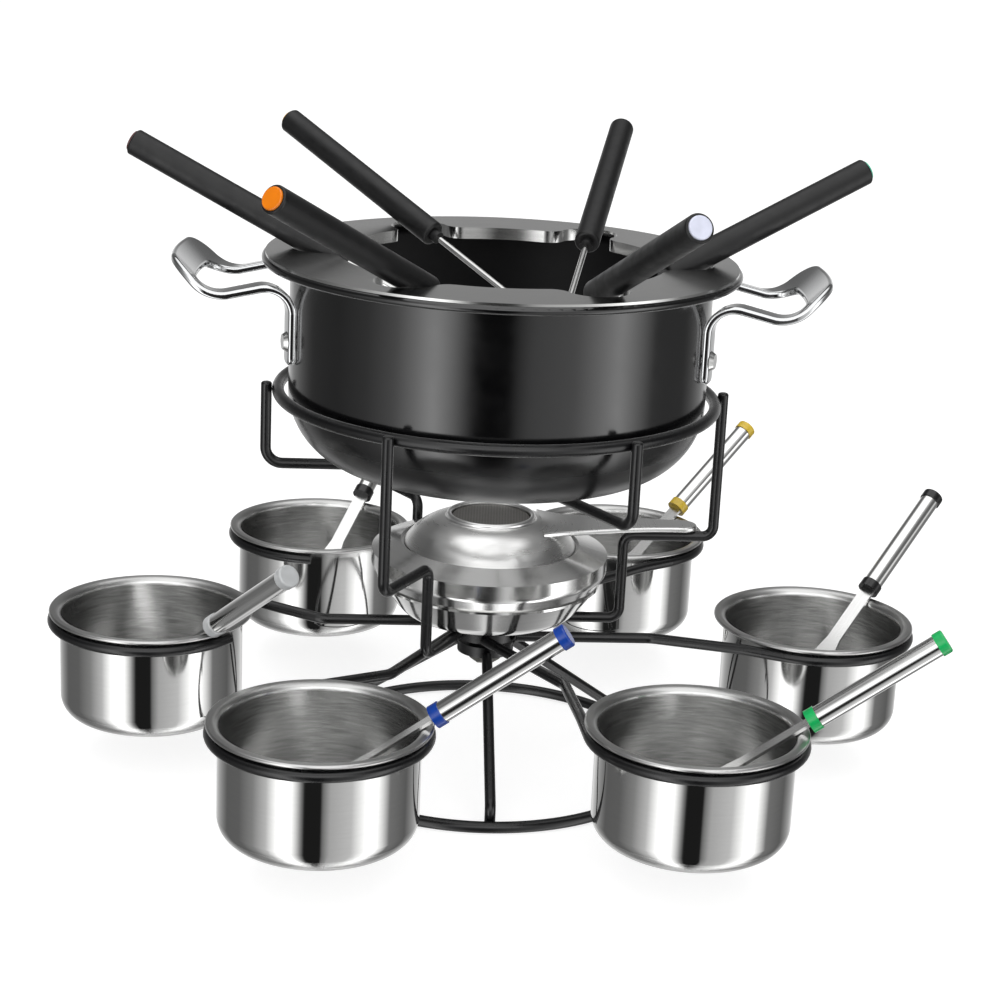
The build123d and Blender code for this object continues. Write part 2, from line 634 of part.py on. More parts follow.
def make_cup():
    """A drawn cup on its own axis, with a lip rolled out over the wire that holds it."""
    lip_edge = CUP_RADIUS + CUP_LIP_REACH
    bead = CUP_LIP_BEAD
    lip_under = CUP_RIM_Z - CUP_WALL
    with BuildPart() as cup:
        with BuildSketch(Plane.XZ):
            with BuildLine():
                Line((0, CUP_FLOOR_Z + CUP_WALL), (0, CUP_FLOOR_Z))
                Line((0, CUP_FLOOR_Z), (CUP_RADIUS - CUP_CORNER, CUP_FLOOR_Z))
                RadiusArc(
                    (CUP_RADIUS - CUP_CORNER, CUP_FLOOR_Z),
                    (CUP_RADIUS, CUP_FLOOR_Z + CUP_CORNER),
                    -CUP_CORNER,
                )
                Line((CUP_RADIUS, CUP_FLOOR_Z + CUP_CORNER), (CUP_RADIUS, CUP_LIP_Z))
                RadiusArc(
                    (CUP_RADIUS, CUP_LIP_Z), (CUP_LIP_RADIUS, lip_under), CUP_LIP_BEND - CUP_WALL
                )
                Line((CUP_LIP_RADIUS, lip_under), (lip_edge - 2 * bead, lip_under))
                ThreePointArc(
                    (lip_edge - 2 * bead, lip_under),
                    (lip_edge - bead, lip_under - bead),
                    (lip_edge, lip_under),
                )
                RadiusArc((lip_edge, lip_under), (lip_edge - CUP_WALL, CUP_RIM_Z), -CUP_WALL)
                Line((lip_edge - CUP_WALL, CUP_RIM_Z), (CUP_LIP_RADIUS, CUP_RIM_Z))
                RadiusArc((CUP_LIP_RADIUS, CUP_RIM_Z), (CUP_BORE, CUP_LIP_Z), -CUP_LIP_BEND)
                Line((CUP_BORE, CUP_LIP_Z), (CUP_BORE, CUP_FLOOR_Z + CUP_CORNER))
                RadiusArc(
                    (CUP_BORE, CUP_FLOOR_Z + CUP_CORNER),
                    (CUP_RADIUS - CUP_CORNER, CUP_FLOOR_Z + CUP_WALL),
                    CUP_CORNER - CUP_WALL,
                )
                Line((CUP_RADIUS - CUP_CORNER, CUP_FLOOR_Z + CUP_WALL), (0, CUP_FLOOR_Z + CUP_WALL))
            make_face()
        revolve(axis=Axis.Z)
    return cup.part


def cup_centres():
    return [polar(CUP_ORBIT, CAROUSEL_PHASE + i * 360 / COUNT, 0) for i in range(COUNT)]


# ---------------------------------------------------------------- spreaders, along local x
def spreader_contact():
    """Where the spreader's middle passes the cup's lip: (distance from the cup's axis, height)."""
    slope = radians(SPREADER_SLOPE)
    stand_off = CUP_LIP_BEND + STEM_THICKNESS / 2 + SPREADER_LIP_GAP
    return CUP_LIP_RADIUS - stand_off * sin(slope), CUP_LIP_Z + stand_off * cos(slope)


def make_spreader_blade():
    """A flat stem with a rounded blade that stands on the cup's floor."""
    slope = radians(SPREADER_SLOPE)
    height = spreader_contact()[1] - CUP_FLOOR_Z - CUP_WALL - REST_GAP
    tip = -(height - STEM_THICKNESS / 2 * cos(slope)) / sin(slope)
    shoulder = SPREADER_COLLAR_AT - SEAT_GAP
    with BuildPart() as blade:
        with BuildSketch(Plane.XY.offset(-STEM_THICKNESS / 2)):
            with BuildLine():
                side = BLADE_WIDTH / 2
                tip_round = RadiusArc((tip, 0), (tip + side, side), side)
                Polyline(
                    tip_round @ 1,
                    (tip + BLADE_LENGTH, side),
                    (tip + BLADE_LENGTH + BLADE_TAPER, STEM_WIDTH / 2),
                    (shoulder, STEM_WIDTH / 2),
                    (shoulder, TANG_WIDTH / 2),
                    (shoulder + TANG_LENGTH, TANG_WIDTH / 2),
                    (shoulder + TANG_LENGTH, 0),
                )
                mirror(about=Plane.XZ)
            make_face()
        extrude(amount=STEM_THICKNESS)
    return blade.part


def make_spreader_grip():
    start = SPREADER_COLLAR_AT + SPREADER_COLLAR_LENGTH + SEAT_GAP
    with BuildPart() as tube:
        with BuildSketch(Plane.YZ.offset(start)):
            Circle(SPREADER_TUBE_RADIUS)
            Circle(SPREADER_TUBE_RADIUS - SPREADER_TUBE_WALL, mode=Mode.SUBTRACT)
        extrude(amount=SPREADER_TUBE_LENGTH - 2 * SEAT_GAP)
    return tube.part


def make_spreader_collars():
    """The plug that the stem passes through, and the plug that closes the other end."""
    spigot = SPREADER_TUBE_RADIUS - SPREADER_TUBE_WALL - SEAT_GAP
    lower = SPREADER_COLLAR_AT + SPREADER_COLLAR_LENGTH
    upper = lower + SPREADER_TUBE_LENGTH
    with BuildPart() as collars:
        with BuildSketch(Plane.YZ.offset(SPREADER_COLLAR_AT)):
            Circle(SPREADER_COLLAR_RADIUS)
        extrude(amount=SPREADER_COLLAR_LENGTH)
        with BuildSketch(Plane.YZ.offset(lower)):
            Circle(spigot)
        extrude(amount=SPREADER_SPIGOT)
        with BuildSketch(Plane.YZ.offset(SPREADER_COLLAR_AT)):
            Rectangle(TANG_WIDTH + 2 * SEAT_GAP, STEM_THICKNESS + 2 * SEAT_GAP)
        extrude(amount=SPREADER_COLLAR_LENGTH + SPREADER_SPIGOT, mode=Mode.SUBTRACT)
        with BuildSketch(Plane.YZ.offset(upper)):
            Circle(SPREADER_COLLAR_RADIUS)
        extrude(amount=SPREADER_COLLAR_LENGTH)
        fillet(collars.edges().group_by(Axis.X)[-1], SPREADER_COLLAR_FILLET)
        with BuildSketch(Plane.YZ.offset(upper)):
            Circle(spigot)
        extrude(amount=-SPREADER_SPIGOT)
    return collars.part


def spreader_planes():
    """The frame of each spreader: local x runs up along its grip from the cup's lip."""
    reach, height = spreader_contact()
    return [
        lean_plane(centre + polar(reach, lean, height), lean, SPREADER_SLOPE)
        for centre, lean in zip(cup_centres(), SPREADER_LEANS)
    ]


# ---------------------------------------------------------------- burner
def make_burner_pan():
    """The lower bowl: flat underneath, rounded up to a beaded seam."""
    wall, corner = BURNER_WALL, BURNER_BASE_CORNER
    with BuildPart() as pan:
        with BuildSketch(Plane.XZ) as half:
            with BuildLine():
                Polyline(
                    (0, BURNER_BASE_Z),
                    (BURNER_BASE_RADIUS, BURNER_BASE_Z),
                    (BURNER_SEAM_RADIUS, BURNER_SEAM_Z - wall),
                    (BURNER_SEAM_RADIUS + BURNER_SEAM_BEAD, BURNER_SEAM_Z - wall),
                    (BURNER_SEAM_RADIUS + BURNER_SEAM_BEAD, BURNER_SEAM_Z),
                    (BURNER_SEAM_RADIUS - wall, BURNER_SEAM_Z),
                    (BURNER_BASE_RADIUS - wall, BURNER_BASE_Z + wall),
                    (0, BURNER_BASE_Z + wall),
                    close=True,
                )
            make_face()
            corners = half.vertices()
            fillet([v for v in corners if abs(v.X - BURNER_BASE_RADIUS) < SEAT_GAP], corner)
            fillet([v for v in corners if abs(v.X + wall - BURNER_BASE_RADIUS) < SEAT_GAP],
                   corner - wall)
        revolve(axis=Axis.Z)
    return pan.part


def make_burner_shell():
    """The upper cover: a flared side, an upright band, a sloping top, a groove and a neck."""
    seam = BURNER_SEAM_Z + SEAT_GAP
    wall = BURNER_WALL
    neck = DOME_MOUTH_RADIUS - NECK_CLEARANCE
    neck_top = DOME_TOP_Z - NECK_DROP
    slope_z = DOME_EDGE_Z - wall
    groove = DOME_EDGE_RADIUS + GROOVE_WIDTH
    floor = slope_z - wall
    band_z = BURNER_FLANGE_Z - BURNER_BAND
    inner = BURNER_FLANGE_RADIUS - wall
    with BuildPart() as shell:
        with BuildSketch(Plane.XZ) as half:
            with BuildLine():
                Polyline(
                    (BURNER_SEAM_RADIUS - wall, seam),
                    (BURNER_SEAM_RADIUS, seam),
                    (BURNER_FLANGE_RADIUS, band_z),
                    (BURNER_FLANGE_RADIUS, BURNER_FLANGE_Z),
                    (groove, slope_z),
                    (groove, floor),
                    (neck, floor),
                    (neck, neck_top),
                    (neck - wall, neck_top),
                    (neck - wall, floor - wall),
                    (groove + wall, floor - wall),
                    (inner, BURNER_FLANGE_Z - 2 * wall),
                    (inner, band_z),
                    close=True,
                )
            make_face()
            flange = half.vertices().filter_by(lambda v: abs(v.X - BURNER_FLANGE_RADIUS) < SEAT_GAP)
            fillet(flange.sort_by(Axis.Y)[0], 4 * wall)
            fillet(flange.sort_by(Axis.Y)[-1], 1.4 * wall)
        revolve(axis=Axis.Z)
    return shell.part


def make_burner_mesh():
    """The wire gauze over the wick, seated on the neck's top."""
    with BuildPart() as gauze:
        with BuildSketch(Plane.XY.offset(DOME_TOP_Z - NECK_DROP + SEAT_GAP)):
            Circle(DOME_MOUTH_RADIUS - NECK_CLEARANCE)
        extrude(amount=GAUZE_THICKNESS)
    return gauze.part


def bulged(start, end, height):
    """The point at a chord's middle, moved out by a height."""
    chord = Vector(*end) - Vector(*start)
    return (Vector(*start) + Vector(*end)) / 2 + Vector(-chord.Y, chord.X).normalized() * height


def make_dome():
    """The regulator's dome, with a rolled lip round its mouth."""
    edge_z = DOME_EDGE_Z - 2 * BURNER_WALL + REST_GAP
    mouth, lip = DOME_MOUTH_RADIUS, DOME_LIP
    edge = (DOME_EDGE_RADIUS, edge_z)
    foot = (mouth + 3 * lip, DOME_TOP_Z - 2 * lip)
    inner_edge = (DOME_EDGE_RADIUS - DOME_WALL, edge_z)
    inner_foot = (mouth, DOME_TOP_Z - 3 * lip)
    with BuildPart() as dome:
        with BuildSketch(Plane.XZ):
            with BuildLine():
                ThreePointArc(edge, bulged(edge, foot, -DOME_CROWN), foot)
                RadiusArc(foot, (mouth + 2 * lip, DOME_TOP_Z - lip), lip)
                ThreePointArc(
                    (mouth + 2 * lip, DOME_TOP_Z - lip),
                    (mouth + lip, DOME_TOP_Z),
                    (mouth, DOME_TOP_Z - lip),
                )
                Line((mouth, DOME_TOP_Z - lip), inner_foot)
                ThreePointArc(inner_foot, bulged(inner_foot, inner_edge, DOME_CROWN), inner_edge)
                Line(inner_edge, edge)
            make_face()
        revolve(axis=Axis.Z)
    return dome.part


def make_regulator_handle():
    """A flat handle that leaves the dome's shoulder and narrows to a round tip."""
    root = DOME_MOUTH_RADIUS + 4 * DOME_LIP
    root_z = DOME_TOP_Z - 2 * DOME_LIP - REGULATOR_THICKNESS / 2
    neck = root + REGULATOR_FLARE
    tip = REGULATOR_REACH - REGULATOR_TIP_WIDTH / 2
    upper = (
        (root, REGULATOR_ROOT_WIDTH / 2),
        (neck, REGULATOR_NECK_WIDTH / 2),
        (tip, REGULATOR_TIP_WIDTH / 2),
    )
    with BuildPart() as handle:
        with BuildSketch(Plane.XZ):
            with BuildLine():
                Spline(
                    (root, root_z),
                    (neck, REGULATOR_Z),
                    (REGULATOR_REACH, REGULATOR_Z),
                    tangents=((1, -REGULATOR_DROP), (1, 0)),
                )
            trace(line_width=REGULATOR_THICKNESS)
        revolve(axis=Axis.Z)
        with BuildSketch() as outline:
            with BuildLine():
                side = Spline(*upper, tangents=((1, -REGULATOR_SWEEP), (1, 0)))
                ThreePointArc(side @ 1, (REGULATOR_REACH, 0), (tip, -REGULATOR_TIP_WIDTH / 2))
                mirror(side, about=Plane.XZ)
                Line((root, -REGULATOR_ROOT_WIDTH / 2), (root, REGULATOR_ROOT_WIDTH / 2))
            make_face()
        extrude(amount=DOME_TOP_Z, mode=Mode.INTERSECT)
        long_edges = handle.edges().filter_by(lambda e: e.length > REGULATOR_FLARE)
        fillet(long_edges, REGULATOR_EDGE_FILLET)
    return handle.part


def make_regulator():
    """The turning dome and its handle in one piece."""
    return make_dome() + make_regulator_handle().rotate(Axis.Z, REGULATOR_AZIMUTH)


# ---------------------------------------------------------------- write every node
os.makedirs("parts", exist_ok=True)

bores = rivet_bores()
write(make_pot(bores), "pot_body")
right_handle = make_handle(bores)
write(right_handle, "pot_handle_right")
write(right_handle.rotate(Axis.Z, 180), "pot_handle_left")
write(make_rivets(), "handle_rivets")
write(make_fork_ring(), "fork_ring")

fork_steel, fork_grip, fork_cap = make_fork_steel(), make_fork_grip(), make_fork_cap()
for number, frame in enumerate(fork_planes(), start=1):
    write(fork_steel.moved(frame.location), f"fork_steel_{number}")
    write(fork_grip.moved(frame.location), f"fork_grip_{number}")
    write(fork_cap.moved(frame.location), f"fork_cap_{number}")

write(make_top_ring(), "stand_top_ring")
write(ring_of(make_long_leg(), 3, LEG_START), "long_legs")
write(ring_of(make_pot_rest(), 3, LEG_START + 60), "pot_rests")
write(make_hub_plates(), "hub_plates")
write(make_pivot_bolt(), "pivot_bolt")
write(make_base_ring(), "base_ring")
write(ring_of(make_base_leg(), 3, BASE_LEG_START), "base_legs")

write(make_carousel_hub(), "carousel_hub")
write(ring_of(make_carousel_arm(), COUNT, CAROUSEL_PHASE), "carousel_arms")
cup = make_cup()
for number, centre in enumerate(cup_centres(), start=1):
    write(cup.moved(Location(centre)), f"cup_{number}")

blade, grip, collars = make_spreader_blade(), make_spreader_grip(), make_spreader_collars()
for number, frame in enumerate(spreader_planes(), start=1):
    write(blade.moved(frame.location), f"spreader_blade_{number}")
    write(grip.moved(frame.location), f"spreader_grip_{number}")
    write(collars.moved(frame.location), f"spreader_collars_{number}")

write(make_burner_pan(), "burner_pan")
write(make_burner_shell(), "burner_shell")
write(make_burner_mesh(), "burner_mesh")
write(make_regulator(), "burner_regulator")
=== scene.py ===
"""Finishes and studio for a fondue set on a wire stand with a carousel of sauce cups."""
import json
import logging
import math
from dataclasses import dataclass
from enum import Enum
from typing import Any

import bpy
from mathutils import Matrix, Vector


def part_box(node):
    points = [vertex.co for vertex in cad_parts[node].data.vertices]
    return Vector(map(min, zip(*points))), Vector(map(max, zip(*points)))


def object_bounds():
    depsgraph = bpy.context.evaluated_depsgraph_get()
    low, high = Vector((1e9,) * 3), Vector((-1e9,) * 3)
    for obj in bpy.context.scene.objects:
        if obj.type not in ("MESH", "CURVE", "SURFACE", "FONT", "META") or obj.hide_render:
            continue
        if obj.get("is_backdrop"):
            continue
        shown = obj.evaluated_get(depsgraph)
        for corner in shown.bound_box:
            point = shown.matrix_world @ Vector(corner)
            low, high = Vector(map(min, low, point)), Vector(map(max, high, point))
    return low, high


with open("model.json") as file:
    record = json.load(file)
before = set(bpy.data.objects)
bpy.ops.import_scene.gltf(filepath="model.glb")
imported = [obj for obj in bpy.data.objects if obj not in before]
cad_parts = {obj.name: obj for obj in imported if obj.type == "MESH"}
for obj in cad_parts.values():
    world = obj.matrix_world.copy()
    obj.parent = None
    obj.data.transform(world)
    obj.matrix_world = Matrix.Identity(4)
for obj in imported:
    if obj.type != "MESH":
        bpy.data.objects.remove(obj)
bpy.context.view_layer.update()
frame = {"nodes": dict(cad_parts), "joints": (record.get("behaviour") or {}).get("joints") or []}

LOG = logging.getLogger("fondue_set")
MM = 0.001
FULL_METAL = 1.0
Place = tuple[float, float, float]
Span = tuple[float, float]
# A noise pattern lies mostly between these two values; colour and roughness spread over them.
NOISE_LOW, NOISE_HIGH = 0.3, 0.7
# A band texture of scale 1 repeats after this length.
BAND_PITCH = 0.314


# ---------------------------------------------------------------- colours and nodes
def linear(hex_colour: str) -> tuple[float, float, float, float]:
    """Turn an sRGB hex colour into linear values for a shader.

    Args:
        hex_colour: Six hex digits, with or without a leading #.

    Returns:
        Linear red, green and blue, and an alpha of 1.
    """
    digits = hex_colour.lstrip("#")
    parts = [int(digits[i:i + 2], 16) / 255.0 for i in (0, 2, 4)]
    red, green, blue = (
        c / 12.92 if c <= 0.04045 else ((c + 0.055) / 1.055) ** 2.4 for c in parts
    )
    return red, green, blue, 1.0


def add_node(
    tree: bpy.types.NodeTree,
    kind: str,
    settings: dict[Any, Any] | None = None,
    links: dict[Any, bpy.types.NodeSocket] | None = None,
) -> bpy.types.Node:
    """Add a node with its settings and its incoming links.

    Args:
        tree: The node tree that gets the node.
        kind: The node's type name.
        settings: Values by property name, or by input name or number. The key "stops" sets a
            colour ramp from pairs of a position and a grey or a colour, in rising order.
        links: Source sockets by input name or number.

    Returns:
        The new node.
    """
    node = tree.nodes.new(kind)
    for key, value in (settings or {}).items():
        if key == "stops":
            elements = node.color_ramp.elements
            elements.remove(elements[-1])
            for index, (position, shade) in enumerate(value):
                element = elements[0] if index == 0 else elements.new(position)
                element.position = position
                element.color = shade if isinstance(shade, tuple) else (shade,) * 3 + (1.0,)
        elif isinstance(key, str) and hasattr(node, key):
            setattr(node, key, value)
        else:
            node.inputs[key].default_value = value
    for key, socket in (links or {}).items():
        tree.links.new(socket, node.inputs[key])
    return node


class Lay(Enum):
    """Which way the fine lines of a finish run."""

    AROUND = "around the piece's own upright axis"
    ALONG = "along the piece's length"
    EVEN = "no direction"


@dataclass(frozen=True)
class Finish:
    """What all finishes share: a name, a colour and how rough the surface is."""

    name: str
    colour: str
    roughness: float

    def shader(self) -> tuple[bpy.types.NodeTree, bpy.types.Node, bpy.types.Material]:
        """Start a material with one Principled shader.

        Returns:
            The node tree, the shader node and the material.
        """
        material = bpy.data.materials.new(self.name)
        material.use_nodes = True
        tree = material.node_tree
        tree.nodes.clear()
        shader = add_node(tree, "ShaderNodeBsdfPrincipled", {"Roughness": self.roughness})
        add_node(tree, "ShaderNodeOutputMaterial", links={"Surface": shader.outputs[0]})
        return tree, shader, material

    def place(self, tree: bpy.types.NodeTree) -> bpy.types.NodeSocket:
        """The point on the object in metres, which the patterns are drawn over."""
        return add_node(tree, "ShaderNodeTexCoord").outputs["Object"]

    def offset(self, tree: bpy.types.NodeTree, centre: Place) -> bpy.types.NodeSocket:
        """The point on the object, measured from a centre."""
        return add_node(tree, "ShaderNodeVectorMath", {"operation": "SUBTRACT", 1: centre},
                        {0: self.place(tree)}).outputs[0]

    def reach(
        self, tree: bpy.types.NodeTree, offset: bpy.types.NodeSocket
    ) -> tuple[bpy.types.NodeSocket, bpy.types.NodeSocket]:
        """Measure how far a point lies from an upright axis.

        Args:
            tree: The node tree.
            offset: The point, measured from a centre on the axis.

        Returns:
            The direction away from the axis, one long and level, and the distance from it.
        """
        level = add_node(tree, "ShaderNodeVectorMath",
                         {"operation": "MULTIPLY", 1: (1.0, 1.0, 0.0)}, {0: offset}).outputs[0]
        away = add_node(tree, "ShaderNodeVectorMath", {"operation": "NORMALIZE"}, {0: level})
        distance = add_node(tree, "ShaderNodeVectorMath", {"operation": "LENGTH"}, {0: level})
        return away.outputs[0], distance.outputs["Value"]

    def tone(
        self, tree: bpy.types.NodeTree, factor: bpy.types.NodeSocket,
        shares: Span, colour: str = "",
    ) -> bpy.types.NodeSocket:
        """A colour that gets a little darker and lighter over a pattern.

        Args:
            tree: The node tree.
            factor: The pattern from 0 to 1.
            shares: What the colour is multiplied by where the pattern is low, and where it is high.
            colour: The colour, where it isn't the finish's own.

        Returns:
            The varied colour.
        """
        base = linear(colour or self.colour)
        low, high = (tuple(min(c * k, 1.0) for c in base[:3]) + (1.0,) for k in shares)
        ramp = add_node(tree, "ShaderNodeValToRGB",
                        {"stops": [(NOISE_LOW, low), (NOISE_HIGH, high)]}, {"Fac": factor})
        return ramp.outputs["Color"]

    def relief(
        self, tree: bpy.types.NodeTree, shader: bpy.types.Node,
        height: bpy.types.NodeSocket, depth_mm: float, strength: float,
    ) -> None:
        """Raise the surface by a pattern of a real depth.

        Args:
            tree: The node tree.
            shader: The shader whose normal is bent.
            height: The pattern from 0 to 1.
            depth_mm: The pattern's depth.
            strength: How much of the relief shows.
        """
        bump = add_node(tree, "ShaderNodeBump",
                        {"Strength": strength, "Distance": depth_mm * MM}, {"Height": height})
        tree.links.new(bump.outputs["Normal"], shader.inputs["Normal"])


@dataclass(frozen=True)
class GlossEnamel(Finish):
    """Vitreous enamel outside, a deep gloss that flows into a soft peel; non-stick inside."""

    peel_mm: float = 9.0
    peel_depth_mm: float = 0.02
    peel_shows: float = 0.35
    peel_span: Span = (0.35, 0.75)  # the values that the peel's noise lies between
    peel_dulling: float = 1.5       # how many times rougher the glaze is in the peel's hollows
    fleck_mm: float = 0.9
    fleck_tones: Span = (0.8, 1.35)
    ior: float = 1.66               # a titania-rich glaze bends light more than window glass
    gloss: float = 0.5
    bend_low_mm: float = 148.0
    bend_top_mm: float = 163.0
    bend_roughness: float = 0.3     # the flame dulls the glaze where the wall bends under
    bore_mm: float = 86.2
    inside_roughness: float = 0.45
    inside_gloss: float = 0.08      # fluoropolymer reflects far less than the glaze

    def inside(self, tree: bpy.types.NodeTree) -> bpy.types.NodeSocket:
        """Tell the faces that look at the pot's axis or up, within the wall, from all others.

        Args:
            tree: The node tree.

        Returns:
            1 on those faces, and 0 elsewhere.
        """
        coordinates = add_node(tree, "ShaderNodeTexCoord")
        away, distance = self.reach(tree, coordinates.outputs["Object"])
        inward_up = add_node(tree, "ShaderNodeVectorMath",
                             {"operation": "SUBTRACT", 0: (0.0, 0.0, 1.0)}, {1: away})
        facing = add_node(tree, "ShaderNodeVectorMath", {"operation": "DOT_PRODUCT"},
                          {0: coordinates.outputs["Normal"], 1: inward_up.outputs[0]})
        looks_in = add_node(tree, "ShaderNodeMath", {"operation": "GREATER_THAN", 1: 0.0},
                            {0: facing.outputs["Value"]})
        within = add_node(tree, "ShaderNodeMath",
                          {"operation": "LESS_THAN", 1: self.bore_mm * MM}, {0: distance})
        return add_node(tree, "ShaderNodeMath", {"operation": "MULTIPLY"},
                        {0: looks_in.outputs[0], 1: within.outputs[0]}).outputs[0]

    def build(self) -> bpy.types.Material:
        """Make the enamel, with a slow waviness and paler flecks, and the duller coat inside.

        Returns:
            The material.
        """
        tree, shader, material = self.shader()
        place, inside = self.place(tree), self.inside(tree)
        peel = add_node(tree, "ShaderNodeTexNoise",
                        {"Scale": 1 / (self.peel_mm * MM), "Detail": 1.0}, {"Vector": place})
        fleck = add_node(tree, "ShaderNodeTexNoise",
                         {"Scale": 1 / (self.fleck_mm * MM), "Detail": 2.0}, {"Vector": place})
        spread = add_node(tree, "ShaderNodeMapRange",
                          {"From Min": self.peel_span[0], "From Max": self.peel_span[1],
                           "To Min": self.roughness, "To Max": self.roughness * self.peel_dulling},
                          {"Value": peel.outputs["Fac"]})
        height = add_node(tree, "ShaderNodeSeparateXYZ", links={0: place}).outputs["Z"]
        bend = add_node(tree, "ShaderNodeMapRange",
                        {"From Min": self.bend_low_mm * MM, "From Max": self.bend_top_mm * MM,
                         "To Min": self.bend_roughness, "To Max": self.roughness},
                        {"Value": height})
        outside = add_node(tree, "ShaderNodeMath", {"operation": "MAXIMUM"},
                           {0: spread.outputs["Result"], 1: bend.outputs["Result"]})
        rough = add_node(tree, "ShaderNodeMix", {3: self.inside_roughness},
                         {0: inside, 2: outside.outputs[0]})
        gloss = add_node(tree, "ShaderNodeMapRange",
                         {"To Min": self.gloss, "To Max": self.inside_gloss}, {"Value": inside})
        tree.links.new(self.tone(tree, fleck.outputs["Fac"], self.fleck_tones),
                       shader.inputs["Base Color"])
        tree.links.new(rough.outputs[0], shader.inputs["Roughness"])
        tree.links.new(gloss.outputs["Result"], shader.inputs["Specular IOR Level"])
        self.relief(tree, shader, peel.outputs["Fac"], self.peel_depth_mm, self.peel_shows)
        shader.inputs["IOR"].default_value = self.ior
        return material


@dataclass(frozen=True)
class Metal(Finish):
    """Bare metal with the fine lines that rolling, spinning or polishing leaves on it."""

    lay: Lay = Lay.EVEN
    centre: Place = (0.0, 0.0, 0.0)
    axis: Place = (0.0, 0.0, 1.0)
    line_mm: float = 0.5            # polishing lines are nearer 0.05; drawn coarser so they read
    line_depth_mm: float = 0.004
    line_shows: float = 0.5
    line_share: float = 0.5         # of the pattern that dulls the metal; the rest is haze
    contrast: float = 0.08
    spread: float = 0.05            # how much rougher the dullest places are
    streaks: float = 1.0            # how often a line round the axis starts anew, per radian
    stretch: float = 60.0           # how many times longer than wide a line along the piece is
    haze_mm: float = 14.0           # fingermarks and cloth marks from handling

    def lines(self, tree: bpy.types.NodeTree) -> bpy.types.NodeSocket:
        """The pattern of fine lines, stretched along the lay.

        Args:
            tree: The node tree.

        Returns:
            The pattern from 0 to 1.
        """
        scale = 1 / (self.line_mm * MM)
        offset = self.offset(tree, self.centre)
        grain = {"Scale": 1.0, "Detail": 3.0, "Roughness": 0.6}
        if self.lay is Lay.AROUND:
            away, distance = self.reach(tree, offset)
            turn = add_node(tree, "ShaderNodeVectorMath",
                            {"operation": "MULTIPLY", 1: (self.streaks, self.streaks, 0.0)},
                            {0: away})
            rise = add_node(tree, "ShaderNodeVectorMath",
                            {"operation": "MULTIPLY", 1: (0.0, 0.0, scale)}, {0: offset})
            point = add_node(tree, "ShaderNodeVectorMath", {"operation": "ADD"},
                             {0: turn.outputs[0], 1: rise.outputs[0]})
            across = add_node(tree, "ShaderNodeMath", {"operation": "MULTIPLY", 1: scale},
                              {0: distance})
            noise = add_node(tree, "ShaderNodeTexNoise", {"noise_dimensions": "4D"} | grain,
                             {"Vector": point.outputs[0], "W": across.outputs[0]})
            return noise.outputs["Fac"]
        turned = Vector(self.axis).rotation_difference(Vector((1, 0, 0))).to_euler()
        laid = add_node(tree, "ShaderNodeMapping", {"Rotation": turned}, {"Vector": offset})
        along = scale if self.lay is Lay.EVEN else scale / self.stretch
        point = add_node(tree, "ShaderNodeVectorMath",
                         {"operation": "MULTIPLY", 1: (along, scale, scale)},
                         {0: laid.outputs[0]})
        noise = add_node(tree, "ShaderNodeTexNoise", grain, {"Vector": point.outputs[0]})
        return noise.outputs["Fac"]

    def build(self) -> bpy.types.Material:
        """Make the metal, with its lines and a faint handling haze.

        Returns:
            The material.
        """
        tree, shader, material = self.shader()
        lines = self.lines(tree)
        haze = add_node(tree, "ShaderNodeTexNoise",
                        {"Scale": 1 / (self.haze_mm * MM), "Detail": 2.0},
                        {"Vector": self.place(tree)})
        mixed = add_node(tree, "ShaderNodeMix", {0: self.line_share},
                         {2: haze.outputs["Fac"], 3: lines})
        rough = add_node(tree, "ShaderNodeMapRange",
                         {"From Min": NOISE_LOW, "From Max": NOISE_HIGH, "To Min": self.roughness,
                          "To Max": self.roughness + self.spread}, {"Value": mixed.outputs[0]})
        tree.links.new(self.tone(tree, lines, (1 - self.contrast, 1 + self.contrast)),
                       shader.inputs["Base Color"])
        tree.links.new(rough.outputs["Result"], shader.inputs["Roughness"])
        self.relief(tree, shader, lines, self.line_depth_mm, self.line_shows)
        shader.inputs["Metallic"].default_value = FULL_METAL
        return material


